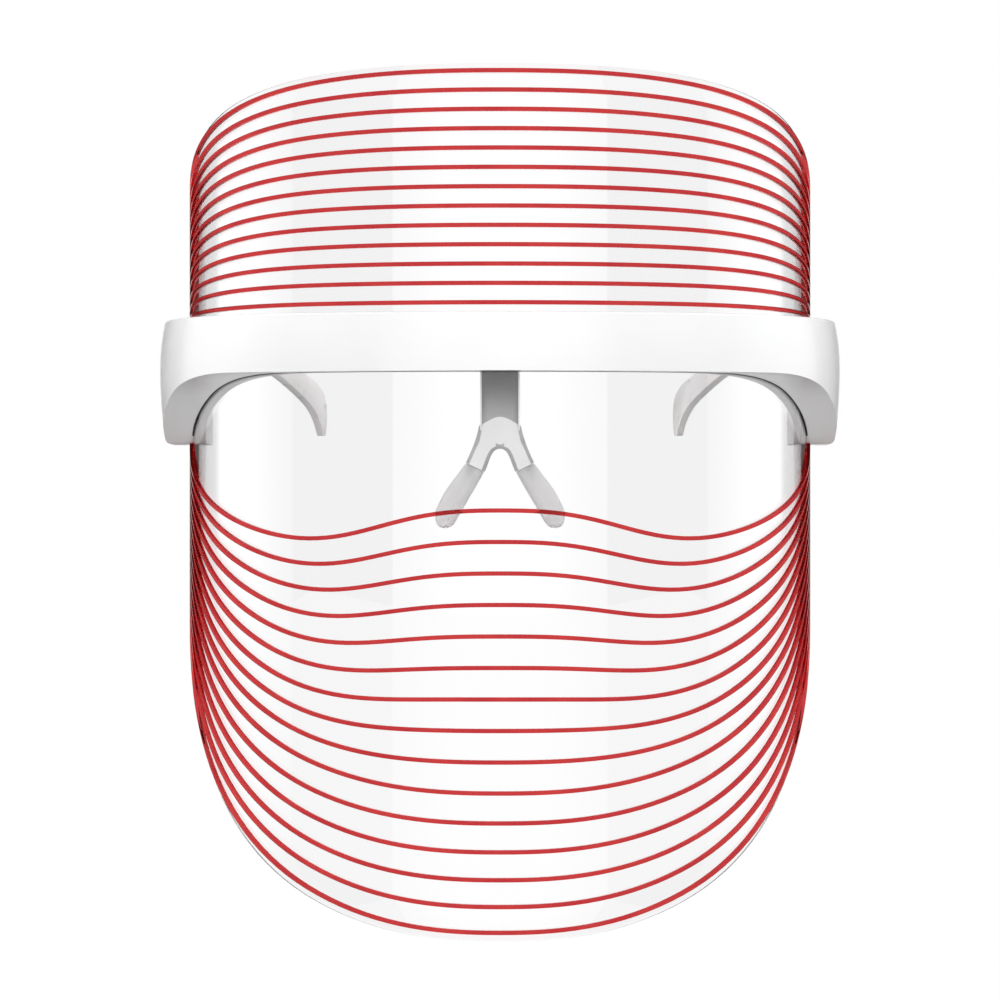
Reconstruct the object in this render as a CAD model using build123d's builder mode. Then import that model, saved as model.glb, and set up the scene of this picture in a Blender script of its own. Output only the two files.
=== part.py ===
"""Light therapy face mask: a clear curved shield crossed by glowing light lines, held in a white spectacle
frame with folding temples. Millimetres. +Z is up, the wearer looks along -Y and the wearer's left is +X.
The origin is the top of the nose arch, where the mask rests on the wearer's nose."""

import math
import os

from build123d import *

os.makedirs("parts", exist_ok=True)

# ---------------------------------------------------------------- driving sizes
# Shield: a flat clear sheet bent about upright axes: a front arc, two corner arcs and two flared sides.
shield_front = -20.0  # y of the shield's front face
shield_front_radius = 150.0
shield_corner_radius = 60.0
shield_half_width = 90.0
side_flare = 3.0  # degrees that each side opens towards the back
sheet = 1.5  # thickness of the clear sheet
shield_top = 106.3
shield_bottom = -136.4
shield_end = 145.0  # length along the sheet from its middle to its rear edge

# Light lines: raised ribs on the front of the shield that end along the frame's blocks.
line_width = 1.1
line_height = 0.6
line_rest = 0.2  # the gap between a line's end and the frame
upper_count = 13
upper_first = 104.3  # height of the top line at the middle
upper_pitch = 5.3
lower_count = 15
lower_first = -16.6
lower_pitch = 8.79
lower_tighten = 0.157  # the last lines close up by this much times the square of their number past the ninth
line_end_first = 121.0  # length along the sheet where the line nearest the frame ends
line_end_last = 142.5  # and where the line furthest from the frame ends
cheek_rise = 13.5  # how far the first lower line rises over the nose and mouth
cheek_width = 44.7
cheek_share = 0.6  # share of the lower lines that rise over the mouth

# Frame: a hollow shell in front of the sheet and an inner band behind it.
frame_gap = 8.5  # from the sheet's front face to the front of the bar
frame_front_radius = 170.0
frame_corner_radius = 62.0
side_gap = 9.3  # the same at the sides
frame_top = 37.5
bar_bottom = 21.2
block_bottom = 2.1
arch_knee = 4.8  # y where the bar's lower edge turns down
arch_foot = 43.0  # y where the block's flat underside starts
arch_radius = 54.0
foot_radius = 4.0
frame_rear = 72.0
shell_wall = 1.8
band_thickness = 2.0
crown_height = 24.0  # the outer side bulges, and stands out furthest at this height
upper_crown_radius = 61.0
lower_crown_radius = 161.0
top_round = 0.8
low_round = 1.5
clearance = 0.05

# Screws
screw_radius = 0.85
screw_head_radius = 1.8
screw_head_height = 1.0
screw_bite = 4.5  # length of a screw past the sheet
boss_radius = 2.3
bar_screw_at = 46.0  # length along the sheet from its middle
block_screw_at = 122.7
upper_screw_z = 32.5
lower_screw_z = 9.5
nose_screw_at = 3.0

# Nose bridge and pads
column_half_width = 5.5
bridge_thickness = 2.6
neck_depth = 5.0  # how far the neck under the bar is set back
plate_top = 8.8  # height of the bridge's front plate at its middle
plate_drop = 3.6  # how much lower its upper edge is at the sides
pad_joint_x = 6.9
pad_joint_z = -5.2
joint_half = 2.9  # half the length of the joint between the bridge and a pad, seen from the front
pad_lean = 26.4  # degrees that each pad leans out from upright
pad_length = 19.4
pad_width = 11.0
pad_thickness = 3.6
pad_turn = 32.0  # degrees that each pad opens towards the face
pad_shift = 1.8  # how far each pad is moved back along its own width
pad_round = 0.7
peg_size = (3.6, 1.4, 4.0)

# Temples
hinge_inset = 7.4  # from the shield's outer face in to the hinge axis
hinge_y = 69.5
knuckle_radius = 3.1
hinge_pin_radius = 0.8
pin_head_radius = 1.4
pin_head_height = 0.4
hinge_bottom = 25.0
hinge_top = 36.5
lug_height = 2.4
hinge_gap = 0.3
temple_hinge_thickness = 3.6
temple_tip_thickness = 1.8
temple_start_angle = 14.0  # degrees that the arm converges at its hinge
temple_tip_x = 57.0
temple_tip_y = 144.6
temple_tip_z = 6.2

# Electronics in the blocks, stacked outwards from the sheet
led_size = (1.6, 2.8, 0.9)  # along the side, height, thickness
led_count = 6
led_board_size = (16.0, 28.0, 0.6)
board_start = 5.2  # from the start of the flat side back to the boards
board_low = 5.2
board_gap = 0.3
control_board_size = (17.5, 27.0, 0.8)
battery_size = (15.5, 26.0, 3.2)
battery_start = 8.6
chip_size = (5.0, 5.0, 0.9)
flex_thickness = 0.3
flex_low = 23.8
flex_height = 4.0
flex_overlap = 2.5
socket_size = (8.94, 3.2, 7.3)  # USB-C receptacle: width, thickness, length
socket_wall = 0.3
socket_recess = 0.4
socket_at = 13.5  # from the start of the flat side
button_size = (10.0, 5.0)  # height and width
button_at = 14.0
button_z = 22.0
button_gap = 0.3
button_flange = 1.0
button_flange_thickness = 0.8
button_travel = 0.5
switch_size = (4.5, 4.5, 1.5)


# ---------------------------------------------------------------- plan curves
class Curve:
    """A front arc, two tangent corner arcs and two straight flared sides, symmetric about x = 0."""

    def __init__(self, front_y, front_radius, corner_radius, half_width, flare):
        self.front_radius = front_radius
        self.corner_radius = corner_radius
        self.flare = math.radians(flare)
        self.front_centre = (0.0, front_y + front_radius)
        reach = front_radius - corner_radius
        corner_x = half_width - corner_radius
        self.corner_centre = (corner_x, self.front_centre[1] - math.sqrt(reach**2 - corner_x**2))
        self.turn_start = math.asin(corner_x / reach)
        self.turn_end = math.pi / 2 - self.flare
        self.arc_end = front_radius * self.turn_start
        self.side_start = self.arc_end + corner_radius * (self.turn_end - self.turn_start)

    def place(self, along, outset=0.0):
        """The point at a length along the curve from its middle, moved outwards, and its outward angle."""
        if along < self.arc_end:
            angle = along / self.front_radius
            centre, radius = self.front_centre, self.front_radius
        elif along < self.side_start:
            angle = self.turn_start + (along - self.arc_end) / self.corner_radius
            centre, radius = self.corner_centre, self.corner_radius
        else:
            angle = self.turn_end
            centre, radius = self.corner_centre, self.corner_radius
        run = max(0.0, along - self.side_start)
        x = centre[0] + (radius + outset) * math.sin(angle) + run * math.sin(self.flare)
        y = centre[1] - (radius + outset) * math.cos(angle) + run * math.cos(self.flare)
        return x, y, angle

    def outset_of(self, point):
        """How far a point lies outside the curve."""
        x, y = abs(point.X), point.Y
        corner_x, corner_y = self.corner_centre
        angle = math.atan2(x - corner_x, corner_y - y)
        if math.atan2(x, self.front_centre[1] - y) < self.turn_start:
            return math.hypot(x, y - self.front_centre[1]) - self.front_radius
        if angle < self.turn_end and y < corner_y:
            return math.hypot(x - corner_x, y - corner_y) - self.corner_radius
        across = (x - corner_x) * math.sin(self.turn_end) - (y - corner_y) * math.cos(self.turn_end)
        return across - self.corner_radius

    def edges(self, outset, rear_y):
        """The offset curve from the right rear end to the left rear end."""
        turn, start = math.degrees(self.turn_end - self.turn_start), math.degrees(self.turn_start)
        x, y, _ = self.place(self.side_start, outset)
        rear_x = x + (rear_y - y) * math.tan(self.flare)
        corner = self.corner_radius + outset
        left = Line((x, y), (rear_x, rear_y))
        left_corner = CenterArc(self.corner_centre, corner, 270 + start, turn)
        front = CenterArc(self.front_centre, self.front_radius + outset, 270 - start, 2 * start)
        right_centre = (-self.corner_centre[0], self.corner_centre[1])
        right_corner = CenterArc(right_centre, corner, 270 - start - turn, turn)
        right = Line((-rear_x, rear_y), (-x, y))
        return left, left_corner, front, right_corner, right


shield_curve = Curve(
    shield_front, shield_front_radius, shield_corner_radius, shield_half_width, side_flare
)
frame_front = shield_front - frame_gap
frame_half_width = shield_half_width + side_gap
frame_curve = Curve(
    frame_front, frame_front_radius, frame_corner_radius, frame_half_width, side_flare
)
inner_face = -sheet - clearance
band_face = inner_face - band_thickness
side_x, side_y, side_angle = shield_curve.place(shield_curve.side_start)
# Local plane of the wearer's left side: x runs back along the sheet, y is up and z points out of the sheet.
side_plane = Plane(
    origin=(side_x, side_y, 0),
    x_dir=(math.sin(shield_curve.flare), math.cos(shield_curve.flare), 0),
    z_dir=(math.sin(side_angle), -math.cos(side_angle), 0),
)
corner_x, corner_y, _ = frame_curve.place(frame_curve.side_start)
wall_out = side_plane.to_local_coords(Vector(corner_x, corner_y, 0)).Z
wall_in = wall_out - shell_wall
rear_x = corner_x + (frame_rear - corner_y) * math.tan(frame_curve.flare)


def strip(outer_curve, outer, inner_curve, inner, rear_y):
    """Plan area between an offset of one curve and an offset of another, cut off square at the rear."""
    with BuildSketch() as area:
        with BuildLine():
            outer_edges = outer_curve.edges(outer, rear_y)
            inner_edges = inner_curve.edges(inner, rear_y)
            Line(outer_edges[0] @ 1, inner_edges[0] @ 1)
            Line(outer_edges[-1] @ 0, inner_edges[-1] @ 0)
        make_face()
    return area.sketch


def frame_profile(inset):
    """Side view of the frame, from the bar down its arch to the block, drawn inset from its edges."""
    forward = frame_front - 10
    slope = math.atan2(bar_bottom - block_bottom, arch_foot - arch_knee)
    shift = inset * math.tan(slope / 2)
    with BuildSketch(Plane.YZ) as view:
        with BuildLine():
            lower = FilletPolyline(
                (forward, bar_bottom + inset),
                (arch_knee + shift, bar_bottom + inset),
                (arch_foot + shift, block_bottom + inset),
                (frame_rear - inset, block_bottom + inset),
                radius=[arch_radius + inset, foot_radius - inset],
            )
            Polyline(
                lower @ 1,
                (frame_rear - inset, frame_top - inset),
                (forward, frame_top - inset),
                lower @ 0,
            )
        make_face()
    return view.sketch


def crown_section(along, inset, rounded):
    """Section across the frame at a length along its plan curve, before its arch is cut, drawn inset."""
    x, y, angle = frame_curve.place(along)
    across = Plane(
        origin=(x, y, 0),
        x_dir=(math.sin(angle), -math.cos(angle), 0),
        z_dir=(-math.cos(angle), -math.sin(angle), 0),
    )
    high = frame_top - inset
    low = block_bottom + inset
    depth = frame_gap + 5
    upper_turn = math.degrees(math.asin((high - crown_height) / (upper_crown_radius - inset)))
    lower_turn = math.degrees(math.asin((crown_height - low) / (lower_crown_radius - inset)))
    with BuildSketch(across) as section:
        with BuildLine():
            upper = CenterArc((-upper_crown_radius, crown_height), upper_crown_radius - inset, 0, upper_turn)
            lower = CenterArc(
                (-lower_crown_radius, crown_height), lower_crown_radius - inset, -lower_turn, lower_turn
            )
            Polyline(upper @ 1, (-depth, high), (-depth, low), lower @ 0)
        make_face()
        if rounded:
            fillet(section.vertices().sort_by(Axis.X)[2:].sort_by(Axis.Y)[-1], top_round)
            fillet(section.vertices().sort_by(Axis.X)[2:].sort_by(Axis.Y)[0], low_round)
    return section.sketch


def crowned_body(inset, rounded=False):
    """The frame before its arch is cut: its section run along the sides, corners and front."""
    side_length = (frame_rear - corner_y) / math.cos(frame_curve.flare)
    corner_turn = math.degrees(frame_curve.turn_end - frame_curve.turn_start)
    corner_axis = Axis((*frame_curve.corner_centre, 0), (0, 0, -1))
    front_axis = Axis((*frame_curve.front_centre, 0), (0, 0, -1))
    with BuildPart() as body:
        extrude(crown_section(frame_curve.side_start + side_length, inset, rounded), amount=side_length)
        revolve(
            crown_section(frame_curve.side_start, inset, rounded),
            axis=corner_axis,
            revolution_arc=corner_turn,
        )
        revolve(
            crown_section(frame_curve.arc_end, inset, rounded),
            axis=front_axis,
            revolution_arc=math.degrees(frame_curve.turn_start),
        )
        mirror(about=Plane.YZ)
    return body.part


def crown_drop(z):
    """How far the frame's outer side lies inside its furthest line at a height."""
    radius = upper_crown_radius if z > crown_height else lower_crown_radius
    return radius - math.sqrt(radius**2 - (z - crown_height) ** 2)


def sheet_plane(along, z, side=1):
    """A plane on the sheet's outer face at a length along it, with its normal pointing out of the sheet."""
    x, y, angle = shield_curve.place(along)
    return Plane(
        origin=(side * x, y, z),
        x_dir=(side * math.cos(angle), math.sin(angle), 0),
        z_dir=(side * math.sin(angle), -math.cos(angle), 0),
    )


def rods(planes, radius, low, high):
    """Round rods between two distances out of the sheet, one at each plane."""
    with BuildPart() as group:
        for plane in planes:
            with BuildSketch(plane.offset(low)):
                Circle(radius)
            extrude(amount=high - low)
    return group.part


def side_box(start, length, low, height, inside, thickness):
    """A box on the wearer's left side: back from start, up from low and out of the sheet from inside."""
    with BuildPart() as block:
        with BuildSketch(side_plane.offset(inside)):
            with Locations((start, low)):
                Rectangle(length, height, align=Align.MIN)
        extrude(amount=thickness)
    return block.part


def mirrored(builder):
    """The same piece on the other side."""
    with BuildPart() as other:
        add(mirror(builder.part, about=Plane.YZ))
    return other


def save(builder, label):
    builder.part.label = label
    export_step(builder.part, f"parts/{label}.step")
    print(label, flush=True)


# ---------------------------------------------------------------- how the light lines run
line_exponent = 2.575
upper_order = 2.53
lower_exponent_first = 2.67
lower_exponent_last = 2.42
lower_order = 1.2


def upper_height(along, middle, end, foot):
    """Height of a forehead line at a length along the sheet: level at the middle and upright at its end."""
    share = min(1.0, along / end)
    return foot + (middle - foot) * (1 - share**line_exponent) ** (1 / upper_order)


def lower_height(along, middle, end, foot, place):
    """Height of a cheek line. place is 0 for the first line, under the nose, and 1 for the chin line."""
    share = min(1.0, along / end)
    exponent = lower_exponent_first + (lower_exponent_last - lower_exponent_first) * place
    rise = cheek_rise * max(0.0, 1 - place / cheek_share) ** 0.75
    fall = (middle - rise - foot) * (1 - share**exponent) ** (1 / lower_order)
    return foot + fall + rise * math.exp(-((along / cheek_width) ** 2)) * (1 - share**2)


def steps_along(end, count):
    """Lengths from the middle to the end, closer together where the lines turn down or up to the frame."""
    return [end * math.sin(math.pi / 2 * k / count) ** (2 / line_exponent) for k in range(count + 1)]


# The wearer's left half of the sheet is drawn as seen from half way between the front and the side.
corner_view = Plane(origin=(0, 0, 0), x_dir=(1, 1, 0), z_dir=(1, -1, 0))


def across_view(along, outset):
    """Where a point of the sheet appears across that view."""
    x, y, _ = shield_curve.place(along, outset)
    return (x + y) / math.sqrt(2)


def band_edges(height_at, end):
    """The two edges of a line in the corner view, half its width either side of its path on the sheet."""
    middle_depth = clearance + line_height / 2
    step = 0.01
    above, below = [], []
    for along in steps_along(end, 10):
        run = min(along, step)
        rise = height_at(along) - height_at(along - run)
        angle = math.atan2(rise, run)
        if along == 0:
            angle = 0.0
        if along == end:
            angle = math.copysign(math.pi / 2, height_at(end) - height_at(0))
        for edge, half in ((above, line_width / 2), (below, -line_width / 2)):
            across = across_view(along - half * math.sin(angle), middle_depth)
            edge.append((across, height_at(along) + half * math.cos(angle)))
    return above, below


def closed_between(above, below, ends):
    """Area between two edges drawn from the middle to the rear, carried on a little past the middle."""
    forward = across_view(0, 0) - 3
    with BuildSketch(corner_view) as view:
        with BuildLine():
            above_edge = Spline(*above, tangents=[(1, 0), ends[0]])
            below_edge = Spline(*below, tangents=[(1, 0), ends[1]])
            Line(above_edge @ 1, below_edge @ 1)
            Polyline(above_edge @ 0, (forward, above[0][1]), (forward, below[0][1]), below_edge @ 0)
        make_face()
    return view.sketch


def line_group(bands, low, high, end):
    """The ribs of one group on both sides: their views cut out of a layer on the front of the sheet."""
    with BuildPart() as group:
        with BuildSketch(Plane.XY.offset(low)):
            add(line_layer)
            Rectangle(rear_x, 4 * rear_x, align=(Align.MAX, Align.CENTER), mode=Mode.SUBTRACT)
        extrude(amount=high - low)
        views = [closed_between(above, below, (end, end)) for above, below in bands]
        extrude(Sketch() + views, amount=2 * rear_x, both=True, mode=Mode.INTERSECT)
        mirror(about=Plane.YZ)
    return group


upper_bands = []
for index in range(upper_count):
    end = line_end_last - (line_end_last - line_end_first) * index / (upper_count - 1)
    middle = upper_first - upper_pitch * index
    foot = frame_top + line_rest
    upper_bands.append(band_edges(lambda a: upper_height(a, middle, end, foot), end))

lower_bands = []
for index in range(lower_count):
    place = index / (lower_count - 1)
    end = line_end_first + (line_end_last - line_end_first) * place
    middle = lower_first - lower_pitch * index + lower_tighten * max(0, index - 8) ** 2
    foot = block_bottom - line_rest
    lower_bands.append(band_edges(lambda a: lower_height(a, middle, end, foot, place), end))

line_layer = strip(shield_curve, clearance + line_height, shield_curve, clearance, frame_rear)

upper_lines = line_group(upper_bands, frame_top, shield_top, (0, -1))
save(upper_lines, "upper_light_lines")
lower_lines = line_group(lower_bands, shield_bottom, block_bottom, (0, 1))
save(lower_lines, "lower_light_lines")

# ---------------------------------------------------------------- clear shield
lengths = steps_along(shield_end, 12)
top_edge = [(across_view(a, 0), upper_height(a, shield_top, shield_end, frame_top)) for a in lengths]
low_edge = [
    (across_view(a, 0), lower_height(a, shield_bottom, shield_end, block_bottom, 1)) for a in lengths
]

screw_places = [(bar_screw_at, upper_screw_z)]
screw_places += [(block_screw_at, upper_screw_z), (block_screw_at, lower_screw_z)]
cover_screw_planes = [sheet_plane(a, z, side) for a, z in screw_places for side in (1, -1)]
bridge_screw_planes = [sheet_plane(nose_screw_at, upper_screw_z, side) for side in (1, -1)]
screw_planes = cover_screw_planes + bridge_screw_planes

with BuildPart() as light_shield:
    with BuildSketch(Plane.XY.offset(shield_bottom - 1)):
        add(strip(shield_curve, 0, shield_curve, -sheet, frame_rear))
        Rectangle(rear_x, 4 * rear_x, align=(Align.MAX, Align.CENTER), mode=Mode.SUBTRACT)
    extrude(amount=shield_top - shield_bottom + 2)
    shield_view = closed_between(top_edge, low_edge, ((0, -1), (0, 1)))
    extrude(shield_view, amount=2 * rear_x, both=True, mode=Mode.INTERSECT)
    mirror(about=Plane.YZ)
    add(rods(screw_planes, screw_radius + 0.25, -sheet - 1, 1), mode=Mode.SUBTRACT)
save(light_shield, "light_shield")

# ---------------------------------------------------------------- frame shell
led_top = led_size[2] + 2 * clearance  # the LEDs shine into the sheet
stack_out = led_top + led_board_size[2] + board_gap  # where the battery and the control board start
control_out = stack_out + control_board_size[2]
socket_out = control_out + clearance

socket_plane = Plane(
    origin=(side_x, side_y, block_bottom + socket_recess),
    x_dir=side_plane.x_dir,
    z_dir=(0, 0, 1),
)
socket_centre = (socket_at, -(socket_out + socket_size[1] / 2))
socket_length = socket_size[2]
button_wall = wall_in - crown_drop(button_z - button_size[0] / 2 - button_flange) - clearance
button_plane = side_plane.offset(button_wall)
button_centre = (button_at, button_z)

with BuildPart() as side_openings:
    with BuildSketch(socket_plane.offset(-5)):
        with Locations(socket_centre):
            SlotOverall(socket_size[0] + 2 * clearance, socket_size[1] + 2 * clearance)
    extrude(amount=5 + socket_length)
    with BuildSketch(button_plane.offset(-1)):
        with Locations(button_centre):
            SlotOverall(button_size[0] + 2 * button_gap, button_size[1] + 2 * button_gap, rotation=90)
    extrude(amount=shell_wall + 3)

with BuildPart() as shell_bosses:
    add(rods(screw_planes, boss_radius, -1, wall_out))
    add(crowned_body(shell_wall / 2), mode=Mode.INTERSECT)
    add(rods(screw_planes, screw_radius, -2, screw_bite + 0.5), mode=Mode.SUBTRACT)

with BuildPart() as shell_cavity:
    add(crowned_body(shell_wall))
    extrude(frame_profile(shell_wall), amount=rear_x, both=True, mode=Mode.INTERSECT)

with BuildPart() as frame_shell:
    add(crowned_body(0, rounded=True))
    extrude(frame_profile(0), amount=rear_x + 10, both=True, mode=Mode.INTERSECT)
    add(shell_cavity.part, mode=Mode.SUBTRACT)
    add(shell_bosses.part)
    with BuildSketch(Plane.XY.offset(block_bottom - 1)):
        add(strip(shield_curve, clearance, shield_curve, -2 * frame_gap, frame_rear + 10))
    extrude(amount=frame_top - block_bottom + 2, mode=Mode.SUBTRACT)
    add(mirror(side_openings.part, about=Plane.YZ), mode=Mode.SUBTRACT)
save(frame_shell, "frame_shell")

# ---------------------------------------------------------------- inner band with its hinge lugs
hinge_along = (hinge_y - side_plane.offset(-hinge_inset).origin.Y) / math.cos(shield_curve.flare)
hinge_point = side_plane.from_local_coords(Vector(hinge_along, 0, -hinge_inset))
knuckle_low = hinge_bottom + lug_height + hinge_gap
knuckle_high = hinge_top - lug_height - hinge_gap


def lug(low):
    """One hinge plate, from the band in to the hinge axis, with its round end and pin hole."""
    with BuildPart() as plate:
        with BuildSketch(side_plane.offset(-hinge_inset)):
            with Locations((hinge_along, low)):
                Rectangle(2 * knuckle_radius, lug_height, align=(Align.CENTER, Align.MIN))
        extrude(amount=hinge_inset + band_face)
        with BuildSketch(Plane.XY.offset(low)):
            with Locations((hinge_point.X, hinge_point.Y)):
                Circle(knuckle_radius)
        extrude(amount=lug_height)
        with BuildSketch(Plane.XY.offset(low)):
            with Locations((hinge_point.X, hinge_point.Y)):
                Circle(hinge_pin_radius)
        extrude(amount=lug_height, mode=Mode.SUBTRACT)
    return plate


rear_gap_start = side_plane.from_local_coords(
    Vector(shield_end - shield_curve.side_start + sheet + 0.3, 0, 0)
).Y
low_lug = lug(hinge_bottom)
high_lug = lug(hinge_top - lug_height)

with BuildPart() as inner_band:
    with BuildSketch(Plane.XY.offset(block_bottom)):
        add(strip(shield_curve, 0, shield_curve, band_face, frame_rear))
    extrude(amount=frame_top - block_bottom)
    extrude(frame_profile(0), amount=rear_x, both=True, mode=Mode.INTERSECT)
    with BuildSketch(Plane.XY.offset(block_bottom - 1)):
        add(strip(shield_curve, 1, shield_curve, inner_face, rear_gap_start))
    extrude(amount=frame_top - block_bottom + 2, mode=Mode.SUBTRACT)
    add(rods(screw_planes, screw_radius + 0.15, band_face - 1, inner_face + 1), mode=Mode.SUBTRACT)
    add(
        rods(cover_screw_planes, screw_head_radius + 0.15, band_face - 1, band_face + screw_head_height),
        mode=Mode.SUBTRACT,
    )
    for piece in (low_lug, high_lug):
        add(piece.part)
        add(mirror(piece.part, about=Plane.YZ))
save(inner_band, "inner_band")

# ---------------------------------------------------------------- nose bridge
band_bow = column_half_width**2 / (2 * (shield_front_radius + band_face))
bridge_front = shield_front - band_face + band_bow + clearance
arch_side = math.radians(pad_lean)
pad_angle = math.radians(pad_turn)

with BuildSketch(Plane.XZ) as bridge_view:
    with BuildLine():
        out_x = pad_joint_x + joint_half * math.cos(arch_side)
        out_z = pad_joint_z + joint_half * math.sin(arch_side)
        in_x = pad_joint_x - joint_half * math.cos(arch_side)
        in_z = pad_joint_z - joint_half * math.sin(arch_side)
        top = Line((0, frame_top - 1), (column_half_width, frame_top - 1))
        column = Line(top @ 1, (column_half_width, 10))
        flank = Spline(
            column @ 1,
            (out_x, out_z),
            tangents=[(0, -1), (math.sin(arch_side), -math.cos(arch_side))],
        )
        joint = Line(flank @ 1, (in_x, in_z))
        arch = Spline(joint @ 1, (0, 0), tangents=[(-math.sin(arch_side), math.cos(arch_side)), (-1, 0)])
        mirror(about=Plane.YZ)
    make_face()

with BuildSketch(Plane.YZ) as bridge_side:
    with BuildLine():
        back = bridge_front + bridge_thickness
        front_edge = Polyline((bridge_front, frame_top - 1), (bridge_front, bar_bottom + 3))
        brow_foot = (bridge_front + neck_depth - 1, plate_top)
        brow = Spline(front_edge @ 1, brow_foot, tangents=[(0, -1), (0.3, -1)])
        nose_front = Spline(brow @ 1, (bridge_front + 8.0, -9.0), tangents=[(0.3, -1), (0.4, -1)])
        base = Line(nose_front @ 1, (-1.0, -9.0))
        heel = Spline(base @ 1, (0, -1), tangents=[(0, 1), (0, 1)])
        calf = Spline(heel @ 1, (back, bar_bottom), tangents=[(0, 1), (0, 1)])
        Polyline(calf @ 1, (back, frame_top - 1), front_edge @ 0)
    make_face()

# The neck between the bar and the plate is set back, and the plate's upper edge is an arc.
with BuildSketch(Plane.YZ) as neck_side:
    with BuildLine():
        neck_top = bar_bottom + 3
        neck_foot = (bridge_front + neck_depth, plate_top - 4)
        neck_front = Spline((bridge_front, neck_top), neck_foot, tangents=[(0, -1), (0.3, -1)])
        Polyline(
            neck_front @ 1,
            (bridge_front - 1, plate_top - 4),
            (bridge_front - 1, neck_top),
            neck_front @ 0,
        )
    make_face()

with BuildSketch(Plane.XZ) as neck_view:
    with BuildLine():
        reach = column_half_width + 1
        plate_side = plate_top - plate_drop
        plate_edge = ThreePointArc((-reach, plate_side), (0, plate_top), (reach, plate_side))
        Polyline(plate_edge @ 1, (reach, neck_top), (-reach, neck_top), plate_edge @ 0)
    make_face()

with BuildPart() as neck_recess:
    extrude(neck_side.sketch, amount=20, both=True)
    extrude(neck_view.sketch, amount=40, both=True, mode=Mode.INTERSECT)

# Local plane of a pad's joint: x points out along the joint, y to the front and z down the pad.
pad_plane = Plane(
    origin=(pad_joint_x, -pad_width / 2, pad_joint_z),
    x_dir=(math.cos(arch_side), 0, math.sin(arch_side)),
    z_dir=(math.sin(arch_side), 0, -math.cos(arch_side)),
)

with BuildPart() as left_peg:
    with BuildSketch(pad_plane.offset(-1)):
        RectangleRounded(peg_size[1], peg_size[0], 0.4, rotation=pad_turn)
    extrude(amount=peg_size[2] + 1)
right_peg = mirrored(left_peg)

with BuildPart() as nose_bridge:
    extrude(bridge_side.sketch, amount=20, both=True)
    extrude(bridge_view.sketch, amount=40, both=True, mode=Mode.INTERSECT)
    add(neck_recess.part, mode=Mode.SUBTRACT)
    add(left_peg.part)
    add(right_peg.part)
    add(rods(bridge_screw_planes, screw_radius + 0.15, band_face - 9, inner_face), mode=Mode.SUBTRACT)
save(nose_bridge, "nose_bridge")

pad_view_plane = Plane(origin=pad_plane.origin, x_dir=pad_plane.x_dir, z_dir=(0, 1, 0))
with BuildPart() as left_nose_pad:
    with BuildSketch(pad_plane.offset(clearance)):
        with Locations((pad_shift * math.sin(pad_angle), -pad_shift * math.cos(pad_angle))):
            SlotOverall(pad_width, pad_thickness, rotation=90 + pad_turn)
    extrude(amount=pad_length + 1)
    with BuildSketch(pad_view_plane) as leaf:
        with BuildLine():
            edge = Spline(
                (joint_half, 0),
                (1.38 * joint_half, 0.31 * pad_length),
                (1.66 * joint_half, 0.65 * pad_length),
                (1.28 * joint_half, 0.92 * pad_length),
                (0.55 * joint_half, pad_length),
                (-0.2 * joint_half, 0.965 * pad_length),
                (-0.63 * joint_half, 0.85 * pad_length),
                tangents=[(0.15, 1), (-0.06, -1)],
            )
            Polyline(edge @ 1, (-joint_half, 0), (-joint_half, -1), (joint_half, -1), edge @ 0)
        make_face()
    extrude(amount=2 * pad_width, both=True, mode=Mode.INTERSECT)
    soft_edges = left_nose_pad.edges().filter_by(lambda e: pad_plane.to_local_coords(e @ 0.5).Z > 1)
    fillet(soft_edges, pad_round)
    with BuildSketch(pad_plane.offset(clearance)):
        RectangleRounded(
            peg_size[1] + 2 * clearance, peg_size[0] + 2 * clearance, 0.4, rotation=pad_turn
        )
    extrude(amount=peg_size[2], mode=Mode.SUBTRACT)
save(left_nose_pad, "left_nose_pad")
save(mirrored(left_nose_pad), "right_nose_pad")

# ---------------------------------------------------------------- temples and hinge pins
hinge_place = (hinge_point.X, hinge_point.Y)
tip_run = temple_tip_y - hinge_point.Y
chord = math.hypot(tip_run, hinge_point.X - temple_tip_x)
chord_angle = math.degrees(math.atan2(hinge_point.X - temple_tip_x, tip_run))
temple_turn = 2 * (chord_angle - temple_start_angle)
temple_radius = chord / (2 * math.sin(math.radians(temple_turn / 2)))
start = math.radians(temple_start_angle)
temple_centre = (
    hinge_point.X - temple_radius * math.cos(start),
    hinge_point.Y - temple_radius * math.sin(start),
)

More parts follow.
